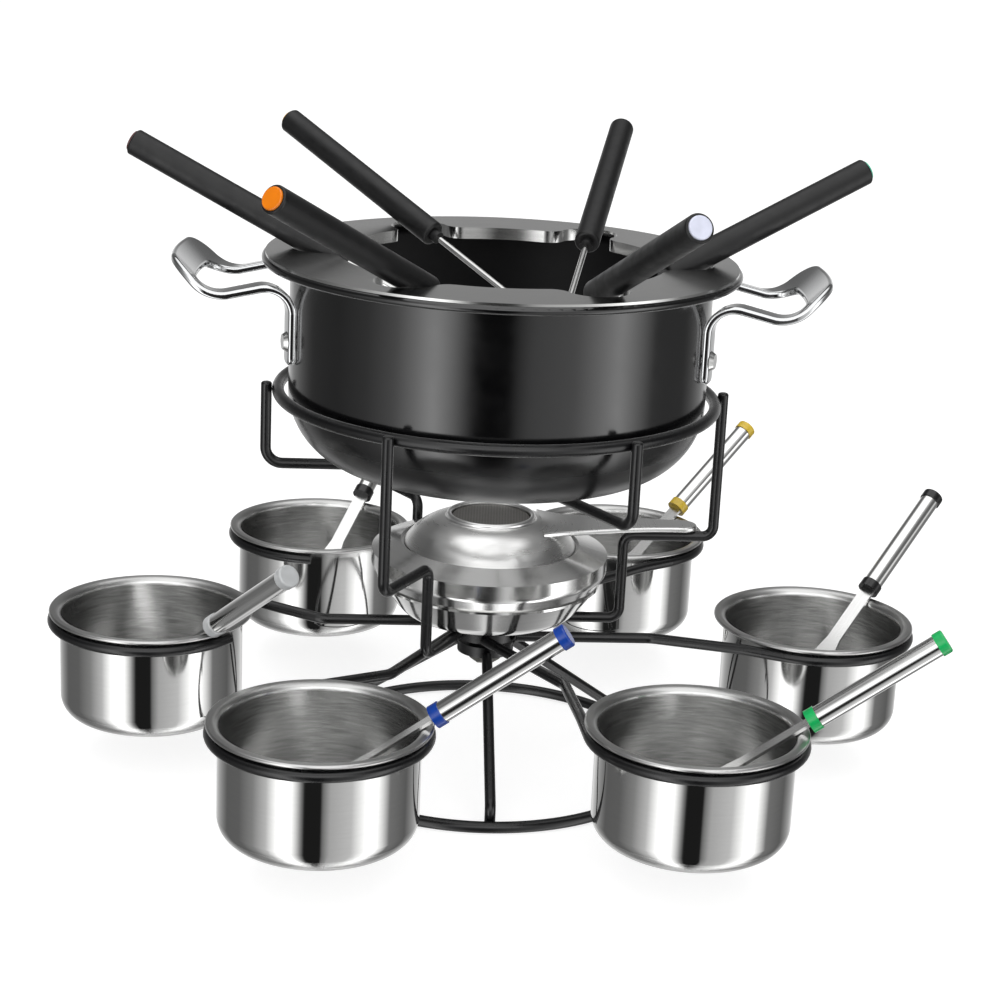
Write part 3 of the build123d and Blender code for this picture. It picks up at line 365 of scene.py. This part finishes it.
@dataclass(frozen=True)
class SpunCup(Metal):
    """Spun cup steel: polished outside, satin on the lip, brushed round the inside."""

    bore_mm: float = 37.8
    floor_mm: float = 0.4           # middle of the cup's floor, above its underside
    lip_mm: float = 44.0
    lip_blend_mm: float = 3.0
    lip_roughness: float = 0.3
    polished_contrast: float = 0.25     # what the polish outside leaves of the lines' contrast
    brushed_contrast: float = 2.5       # and how much darker the brushed lines get inside
    brushed_depth: float = 3.0
    brushed_roughness: float = 0.19
    brushed_colour: str = "#d6d6d5"
    grooved: float = 0.86           # lines round the wall spread light up and down, not sideways
    groove_turn: float = 0.25       # a quarter turn, from across the grooves to along them

    def build(self) -> bpy.types.Material:
        """Make the cup's steel: polished outside and brushed inside.

        Returns:
            The material.
        """
        tree, shader, material = self.shader()
        lines = self.lines(tree)
        offset = self.offset(tree, self.centre)
        parts = add_node(tree, "ShaderNodeSeparateXYZ", links={0: offset})
        _, distance = self.reach(tree, offset)
        within = add_node(tree, "ShaderNodeMath",
                          {"operation": "LESS_THAN", 1: self.bore_mm * MM}, {0: distance})
        above = add_node(tree, "ShaderNodeMath",
                         {"operation": "GREATER_THAN", 1: self.floor_mm * MM},
                         {0: parts.outputs["Z"]})
        inside = add_node(tree, "ShaderNodeMath", {"operation": "MULTIPLY"},
                          {0: within.outputs[0], 1: above.outputs[0]}).outputs[0]
        faint = self.polished_contrast * self.contrast
        polished = self.tone(tree, lines, (1 - faint, 1 + faint))
        brushed = self.tone(tree, lines, (1 - self.brushed_contrast * self.contrast,
                                          1 + self.contrast), self.brushed_colour)
        colour = add_node(tree, "ShaderNodeMix", {"data_type": "RGBA"},
                          {0: inside, 6: polished, 7: brushed})
        outer_rough = add_node(tree, "ShaderNodeMapRange",
                               {"From Min": (self.lip_mm - self.lip_blend_mm) * MM,
                                "From Max": self.lip_mm * MM,
                                "To Min": self.roughness, "To Max": self.lip_roughness},
                               {"Value": parts.outputs["Z"]})
        inside_rough = add_node(tree, "ShaderNodeMapRange",
                                {"From Min": NOISE_LOW, "From Max": NOISE_HIGH,
                                 "To Min": self.brushed_roughness,
                                 "To Max": self.brushed_roughness + self.spread}, {"Value": lines})
        rough = add_node(tree, "ShaderNodeMix", links={
            0: inside, 2: outer_rough.outputs["Result"], 3: inside_rough.outputs["Result"]})
        depth = add_node(tree, "ShaderNodeMath", {"operation": "MULTIPLY"}, {0: lines, 1: inside})
        tree.links.new(colour.outputs[2], shader.inputs["Base Color"])
        tree.links.new(rough.outputs[0], shader.inputs["Roughness"])
        self.relief(tree, shader, depth.outputs[0], self.brushed_depth * self.line_depth_mm,
                    self.line_shows)
        shader.inputs["Metallic"].default_value = FULL_METAL
        shader.inputs["Anisotropic"].default_value = self.grooved
        shader.inputs["Anisotropic Rotation"].default_value = self.groove_turn
        return material


@dataclass(frozen=True)
class WovenGauze(Finish):
    """Stainless gauze gone dull in the flame: a plain weave of fine wire."""

    pitch_mm: float = 1.2           # real gauze is nearer 0.5; drawn coarser so that it reads
    wire_depth_mm: float = 0.15
    wire_shows: float = 0.4
    # The low share is painted shade in the holes between the wires; the high share is the wire's
    # own tone.
    wire_tones_and_hole_shade: Span = (0.7, 1.1)
    stain_mm: float = 5.0
    stain_dulling: float = 0.15

    def build(self) -> bpy.types.Material:
        """Make the gauze: two sets of wire ridges that cross, dark in the holes between them.

        Returns:
            The material.
        """
        tree, shader, material = self.shader()
        place = self.place(tree)
        waves = [add_node(tree, "ShaderNodeTexWave",
                          {"wave_type": "BANDS", "bands_direction": way,
                           "Scale": BAND_PITCH / (self.pitch_mm * MM), "Distortion": 0.0},
                          {"Vector": place}).outputs["Fac"] for way in ("X", "Y")]
        weave = add_node(tree, "ShaderNodeMath", {"operation": "MAXIMUM"},
                         {0: waves[0], 1: waves[1]}).outputs[0]
        stain = add_node(tree, "ShaderNodeTexNoise",
                         {"Scale": 1 / (self.stain_mm * MM), "Detail": 2.0}, {"Vector": place})
        rough = add_node(tree, "ShaderNodeMapRange",
                         {"To Min": self.roughness, "To Max": self.roughness + self.stain_dulling},
                         {"Value": stain.outputs["Fac"]})
        # Painted shade: the weave's colour is darker in the holes between the wires.
        tree.links.new(self.tone(tree, weave, self.wire_tones_and_hole_shade), shader.inputs["Base Color"])
        tree.links.new(rough.outputs["Result"], shader.inputs["Roughness"])
        self.relief(tree, shader, weave, self.wire_depth_mm, self.wire_shows)
        shader.inputs["Metallic"].default_value = FULL_METAL
        return material


@dataclass(frozen=True)
class PowderCoat(Finish):
    """Black powder baked on wire: a satin skin with a fine orange peel."""

    grain_mm: float = 0.7
    grain_depth_mm: float = 0.05
    grain_shows: float = 0.4
    grain_tones: Span = (0.75, 1.3)
    patch_mm: float = 12.0
    patch_dulling: Span = (0.85, 1.25)

    def build(self) -> bpy.types.Material:
        """Make the coat, with its peel and slightly duller patches.

        Returns:
            The material.
        """
        tree, shader, material = self.shader()
        place = self.place(tree)
        grain = add_node(tree, "ShaderNodeTexNoise",
                         {"Scale": 1 / (self.grain_mm * MM), "Detail": 2.0}, {"Vector": place})
        patch = add_node(tree, "ShaderNodeTexNoise",
                         {"Scale": 1 / (self.patch_mm * MM), "Detail": 2.0}, {"Vector": place})
        rough = add_node(tree, "ShaderNodeMapRange",
                         {"From Min": NOISE_LOW, "From Max": NOISE_HIGH,
                          "To Min": self.roughness * self.patch_dulling[0],
                          "To Max": self.roughness * self.patch_dulling[1]},
                         {"Value": patch.outputs["Fac"]})
        tree.links.new(self.tone(tree, grain.outputs["Fac"], self.grain_tones),
                       shader.inputs["Base Color"])
        tree.links.new(rough.outputs["Result"], shader.inputs["Roughness"])
        self.relief(tree, shader, grain.outputs["Fac"], self.grain_depth_mm, self.grain_shows)
        return material


@dataclass(frozen=True)
class MouldedPlastic(Finish):
    """Injection-moulded plastic: even colour, faint flow marks and a light texture."""

    grain_mm: float = 0.5           # moulded grain is nearer 0.2; drawn coarser so that it reads
    grain_depth_mm: float = 0.01
    grain_shows: float = 0.5
    flow_mm: float = 6.0
    flow_swirl: float = 0.6
    flow_tones: Span = (0.9, 1.1)
    flow_dulling: Span = (0.9, 1.2)
    gloss: float = 0.5

    def build(self) -> bpy.types.Material:
        """Make the plastic, with its flow marks and its moulded grain.

        Returns:
            The material.
        """
        tree, shader, material = self.shader()
        place = self.place(tree)
        grain = add_node(tree, "ShaderNodeTexNoise",
                         {"Scale": 1 / (self.grain_mm * MM), "Detail": 2.0}, {"Vector": place})
        flow = add_node(tree, "ShaderNodeTexNoise",
                        {"Scale": 1 / (self.flow_mm * MM), "Detail": 1.0,
                         "Distortion": self.flow_swirl}, {"Vector": place})
        rough = add_node(tree, "ShaderNodeMapRange",
                         {"From Min": NOISE_LOW, "From Max": NOISE_HIGH,
                          "To Min": self.roughness * self.flow_dulling[0],
                          "To Max": self.roughness * self.flow_dulling[1]},
                         {"Value": flow.outputs["Fac"]})
        tree.links.new(self.tone(tree, flow.outputs["Fac"], self.flow_tones),
                       shader.inputs["Base Color"])
        tree.links.new(rough.outputs["Result"], shader.inputs["Roughness"])
        self.relief(tree, shader, grain.outputs["Fac"], self.grain_depth_mm, self.grain_shows)
        shader.inputs["Specular IOR Level"].default_value = self.gloss
        return material


# ---------------------------------------------------------------- finishes of this set
# Vitreous enamel fired on drawn steel: deep black with two soft upright lights, a slow waviness
# where the glaze ran and a duller bend below, and a non-stick coat inside that swallows light.
ENAMEL = GlossEnamel("black_vitreous_enamel", "#040405", roughness=0.13)
# Pressed steel strip, chromed: it mirrors the room in thin bright and black lines along its
# rounded edges, with a slow unevenness left from the press.
CHROME = Metal("chromed_steel_strip", "#c6c7c8", roughness=0.07,
               line_mm=3.0, line_depth_mm=0.006, contrast=0.03)
# Stainless rivets, their heads set and polished: small and bright, a little greyer than chrome.
RIVET = Metal("polished_rivet_steel", "#c9c9c8", roughness=0.12, line_mm=1.0)
# Stainless sheet, spun and polished: the light fans out from the ring's middle.
RING = Metal("spun_stainless_ring", "#b9b9b8", roughness=0.16, lay=Lay.AROUND,
             line_mm=0.7, contrast=0.06)
# Nylon moulded with a fine spark-eroded grain: a broad dull light, never a mirror.
GRIP = MouldedPlastic("black_nylon_grip", "#0e0e0f", roughness=0.42,
                      grain_mm=0.9, grain_depth_mm=0.03, gloss=0.4)
# Polyester powder baked on bent wire: a thin light runs along each wire and breaks up a little
# in the peel.
COAT = PowderCoat("black_powder_coat", "#08080a", roughness=0.27)
# Steel bolt, zinc plated: dull and grey, with a soft light on its edges.
ZINC = Metal("zinc_plated_bolt", "#a9a8a2", roughness=0.28, line_mm=0.6)
# Stainless gauze, woven and gone dull in the flame: a fine weave with hardly a light on it, its
# holes darkened by painted shade.
GAUZE = WovenGauze("heat_dulled_gauze", "#8c8a87", roughness=0.5)
# ABS moulded in a polished tool, for caps and collars: clear colour under a small sharp light.
CAP_COLOURS = {1: "#4a100d", 2: "#f7850f", 3: "#d9a520", 4: "#1d4fa0", 5: "#dcdff0", 6: "#59c9a8"}
COLLAR_COLOURS = {
    1: "#111112", 2: "#d9b93a", 3: "#141415", 4: "#c9cbcc", 5: "#0f3f9e", 6: "#14b25e"}


def give(node_name: str, material: bpy.types.Material) -> None:
    """Give a CAD node a finish.

    Args:
        node_name: The node's name.
        material: The finish.
    """
    for slot in frame["nodes"][node_name].material_slots:
        slot.material = material
    LOG.info("%s wears %s", node_name, material.name)


def middle(node_name: str) -> Vector:
    """The middle of a CAD node's box, in metres."""
    low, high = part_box(node_name)
    return (low + high) / 2


def joint_axis(child: str) -> Place:
    """The axis of the joint that carries a body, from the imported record."""
    return next(tuple(j["axis"]) for j in frame["joints"] if j["child"] == child)


# ---------------------------------------------------------------- sub-assemblies
@dataclass
class Pot:
    """The enamelled pot with its two riveted loop handles."""

    sides: tuple[str, ...] = ("left", "right")

    def dress(self) -> None:
        """Enamel on the pot, chrome on the handles, polished steel on the rivets."""
        give("pot_body", ENAMEL.build())
        frame["nodes"]["pot_body"].visible_glossy = False   # the burner below it stays bright
        chrome = CHROME.build()
        for side in self.sides:
            give(f"pot_handle_{side}", chrome)
        give("handle_rivets", RIVET.build())


@dataclass
class ForkSet:
    """The fork ring and six forks."""

    count: int = 6
    shaft_colour: str = "#c4c4c3"
    shaft_roughness: float = 0.12
    cap_roughness: float = 0.22

    def dress(self) -> None:
        """Polished steel on ring and shafts, nylon on grips, a colour on each cap."""
        give("fork_ring", RING.build())
        grip = GRIP.build()
        for i in range(1, self.count + 1):
            # Stainless rod, drawn and buffed along its length: one bright thread of light.
            shaft = Metal(f"drawn_stainless_rod_{i}", self.shaft_colour, self.shaft_roughness,
                          Lay.ALONG, centre=tuple(middle(f"fork_steel_{i}")),
                          axis=joint_axis(f"fork_{i}"))
            give(f"fork_steel_{i}", shaft.build())
            give(f"fork_grip_{i}", grip)
            cap = MouldedPlastic(f"gloss_abs_cap_{i}", CAP_COLOURS[i], self.cap_roughness)
            give(f"fork_cap_{i}", cap.build())


@dataclass
class SauceCups:
    """The six cups and the spreader in each."""

    count: int = 6
    cup_colour: str = "#bdbdbc"
    cup_roughness: float = 0.06
    blade: tuple[str, float] = ("#dededd", 0.22)
    tube: tuple[str, float] = ("#d4d4d3", 0.1)
    collar_roughness: float = 0.2

    def dress(self) -> None:
        """Spun steel cups, steel blades and tube grips, and coloured collars."""
        for i in range(1, self.count + 1):
            low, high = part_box(f"cup_{i}")
            centre = ((low.x + high.x) / 2, (low.y + high.y) / 2, low.z)
            # Stainless cup, spun and polished: upright black and white stripes outside. Brushed
            # inside, where the light breaks up into short level streaks.
            cup = SpunCup(f"spun_stainless_cup_{i}", self.cup_colour, self.cup_roughness,
                          Lay.AROUND, centre=centre, line_mm=0.8, contrast=0.07, spread=0.08,
                          streaks=4.0)
            give(f"cup_{i}", cup.build())
            # Stainless sheet blanked and satin-finished for the blade, and tube drawn and buffed
            # for the grip: a soft sheen on the one, lines of light along the other.
            for part, (colour, roughness) in (("blade", self.blade), ("grip", self.tube)):
                steel = Metal(f"polished_spreader_{part}_{i}", colour, roughness, Lay.ALONG,
                              centre=tuple(middle(f"spreader_{part}_{i}")),
                              axis=joint_axis(f"spreader_{i}"))
                give(f"spreader_{part}_{i}", steel.build())
            collar = MouldedPlastic(f"gloss_abs_collar_{i}", COLLAR_COLOURS[i],
                                    self.collar_roughness)
            give(f"spreader_collars_{i}", collar.build())


@dataclass
class Stand:
    """The welded wire stand and the carousel that turns on it."""

    stand_nodes: tuple[str, ...] = (
        "stand_top_ring", "long_legs", "pot_rests", "hub_plates", "base_ring", "base_legs")
    carousel_nodes: tuple[str, ...] = ("carousel_hub", "carousel_arms")

    def dress(self) -> None:
        """Powder coat on the wire and plates, zinc on the pivot bolt."""
        coat = COAT.build()
        for name in self.stand_nodes + self.carousel_nodes:
            give(name, coat)
        give("pivot_bolt", ZINC.build())


@dataclass
class Burner:
    """The spirit burner: pan, shell, gauze and the dome that regulates the flame."""

    steel: str = "#e2e2e1"
    pan_roughness: float = 0.1
    shell_roughness: float = 0.15
    dome_roughness: float = 0.26

    def dress(self) -> None:
        """Satin steel on the shells, heat-dulled steel on the gauze."""
        # Stainless sheet, spun, and buffed less on the dome than on the pan: a soft white glow on
        # the dome, and clearer stripes on the upright band and the pan.
        for name, roughness in (("burner_pan", self.pan_roughness),
                                ("burner_shell", self.shell_roughness),
                                ("burner_regulator", self.dome_roughness)):
            shell = Metal(f"satin_stainless_{name}", self.steel, roughness, Lay.AROUND,
                          line_mm=0.9, line_depth_mm=0.002, contrast=0.03)
            give(name, shell.build())
        give("burner_mesh", GAUZE.build())


# ---------------------------------------------------------------- studio
@dataclass
class Studio:
    """A pale floor, a soft surround with two bright banks, one lamp and the camera."""

    eye: Place = (0.0, -0.895, 0.383)
    pan: float = 0.22               # degrees to the right of straight at the pot
    tilt: float = 16.57             # degrees down
    roll: float = 2.7
    lens_mm: float = 79.74
    sensor_mm: float = 36.0
    floor_half: float = 14.0
    floor_gap: float = 0.0002       # below the lowest piece, so that no faces share a plane
    floor_colour: str = "#b8b8b8"
    floor_lift: float = 0.78        # what the eye sees on top of the lit floor, up to white
    lamp_place: Place = (0.0, -0.1, 1.5)
    lamp_aim: Place = (0.0, 0.0, 0.12)
    lamp_size: float = 1.8
    lamp_watts: float = 10.0
    # Degrees from the camera's side, to the right, and how bright the surround is there. Low down
    # stand two banks with a black gap between them, and a dim room is behind; higher up, one broad
    # softbox hangs over the front.
    banks: tuple[Span, ...] = (
        (-180, 0.6), (-165, 0.95), (-148, 0.6), (-120, 0.18), (-95, 0.2), (-74, 0.4), (-56, 0.9),
        (-44, 2.0), (-34, 3.4), (-26, 2.2), (-15, 0.4), (-11, 0.02), (7, 0.02), (10, 0.3),
        (18, 0.7), (42, 0.95), (58, 2.0), (68, 2.9), (78, 1.7), (92, 0.3), (120, 0.18),
        (148, 0.6), (165, 0.95), (180, 0.6))
    softbox: tuple[Span, ...] = (
        (-180, 0.24), (-140, 0.14), (-100, 0.1), (-58, 0.2), (-24, 2.0), (24, 2.0), (58, 0.2),
        (100, 0.1), (140, 0.14), (180, 0.24))
    overhead: float = 0.72
    # How steeply up a direction points, from 0 to 1, where one gives way to the next.
    banks_to_softbox: Span = (0.02, 0.25)
    softbox_to_overhead: Span = (0.6, 0.9)

    def camera(self) -> None:
        """Place the camera by its pan, tilt and roll."""
        pan, tilt, roll = (math.radians(a) for a in (self.pan, self.tilt, self.roll))
        ahead = Vector((math.sin(pan) * math.cos(tilt), math.cos(pan) * math.cos(tilt),
                        -math.sin(tilt)))
        level = Vector((math.cos(pan), -math.sin(pan), 0.0))
        upright = level.cross(ahead)
        right = level * math.cos(roll) + upright * math.sin(roll)
        up = upright * math.cos(roll) - level * math.sin(roll)
        data = bpy.data.cameras.new("studio_camera")
        data.lens, data.sensor_width = self.lens_mm, self.sensor_mm
        camera = bpy.data.objects.new("studio_camera", data)
        turned = Matrix((right, up, -ahead)).transposed().to_4x4()
        camera.matrix_world = Matrix.Translation(Vector(self.eye)) @ turned
        bpy.context.scene.collection.objects.link(camera)
        bpy.context.scene.camera = camera

    def surround(self) -> None:
        """Build the world: plain white to the eye, and banks and softboxes to the metal."""
        world = bpy.data.worlds.new("studio_surround")
        world.use_nodes = True
        bpy.context.scene.world = world
        tree = world.node_tree
        tree.nodes.clear()
        parts = add_node(tree, "ShaderNodeSeparateXYZ",
                         links={0: add_node(tree, "ShaderNodeTexCoord").outputs["Generated"]})
        back = add_node(tree, "ShaderNodeMath", {"operation": "MULTIPLY", 1: -1.0},
                        {0: parts.outputs["Y"]})
        turn = add_node(tree, "ShaderNodeMath", {"operation": "ARCTAN2"},
                        {0: parts.outputs["X"], 1: back.outputs[0]})
        share = add_node(tree, "ShaderNodeMapRange",
                         {"From Min": -math.pi, "From Max": math.pi}, {"Value": turn.outputs[0]})
        below, above = (
            add_node(tree, "ShaderNodeValToRGB",
                     {"stops": [((azimuth + 180) / 360, level) for azimuth, level in levels]},
                     {"Fac": share.outputs["Result"]}).outputs["Color"]
            for levels in (self.banks, self.softbox))
        low, high = self.banks_to_softbox
        horizon = add_node(tree, "ShaderNodeMapRange",
                           {"From Min": low, "From Max": high}, {"Value": parts.outputs["Z"]})
        sides = add_node(tree, "ShaderNodeMix", {"data_type": "RGBA"},
                         {0: horizon.outputs["Result"], 6: below, 7: above})
        low, high = self.softbox_to_overhead
        height = add_node(tree, "ShaderNodeMapRange",
                          {"From Min": low, "From Max": high}, {"Value": parts.outputs["Z"]})
        mixed = add_node(tree, "ShaderNodeMix",
                         {"data_type": "RGBA", 7: (self.overhead,) * 3 + (1.0,)},
                         {0: height.outputs["Result"], 6: sides.outputs[2]})
        path = add_node(tree, "ShaderNodeLightPath")
        studio = add_node(tree, "ShaderNodeBackground", links={"Color": mixed.outputs[2]})
        white = add_node(tree, "ShaderNodeBackground", {"Color": linear("#ffffff")})
        seen = add_node(tree, "ShaderNodeMixShader",
                        links={0: path.outputs["Is Camera Ray"], 1: studio.outputs[0],
                               2: white.outputs[0]})
        add_node(tree, "ShaderNodeOutputWorld", links={"Surface": seen.outputs[0]})

    def floor(self) -> None:
        """Lay a matt pale floor that shows white to the eye and keeps the shadow."""
        mesh = bpy.data.meshes.new("studio_floor")
        half = self.floor_half
        corners = [(-half, -half, 0), (half, -half, 0), (half, half, 0), (-half, half, 0)]
        mesh.from_pydata(corners, [], [(0, 1, 2, 3)])
        floor = bpy.data.objects.new("studio_floor", mesh)
        floor.location.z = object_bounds()[0][2] - self.floor_gap
        bpy.context.scene.collection.objects.link(floor)
        material = bpy.data.materials.new("matt_white_floor")
        material.use_nodes = True
        tree = material.node_tree
        tree.nodes.clear()
        matt = add_node(tree, "ShaderNodeBsdfDiffuse", {"Color": linear(self.floor_colour)})
        path = add_node(tree, "ShaderNodeLightPath")
        lift = add_node(tree, "ShaderNodeMath", {"operation": "MULTIPLY", 1: self.floor_lift},
                        {0: path.outputs["Is Camera Ray"]})
        glow = add_node(tree, "ShaderNodeEmission", links={"Strength": lift.outputs[0]})
        both = add_node(tree, "ShaderNodeAddShader", links={0: matt.outputs[0], 1: glow.outputs[0]})
        add_node(tree, "ShaderNodeOutputMaterial", links={"Surface": both.outputs[0]})
        mesh.materials.append(material)
        floor.visible_glossy = False        # the metal sees the surround below it too
        floor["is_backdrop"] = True

    def lamp(self) -> None:
        """Hang one soft square lamp that looks down at the pot."""
        data = bpy.data.lights.new("overhead_softbox", "AREA")
        data.shape, data.size, data.energy = "SQUARE", self.lamp_size, self.lamp_watts
        lamp = bpy.data.objects.new("overhead_softbox", data)
        lamp.location = self.lamp_place
        aim = Vector(self.lamp_aim) - Vector(self.lamp_place)
        lamp.rotation_euler = aim.to_track_quat("-Z", "Y").to_euler()
        bpy.context.scene.collection.objects.link(lamp)

    def build(self) -> None:
        """Set up the floor, the surround, the lamp, the camera and the view transform."""
        self.floor()
        self.surround()
        self.lamp()
        self.camera()
        bpy.context.scene.view_settings.view_transform = "Standard"


def main() -> None:
    """Build and dress each sub-assembly in order, then the studio."""
    logging.basicConfig(level=logging.INFO, format="%(name)s: %(message)s")
    for assembly in (Pot(), ForkSet(), SauceCups(), Stand(), Burner()):
        assembly.dress()
    Studio().build()


if __name__ == "__main__":
    main()
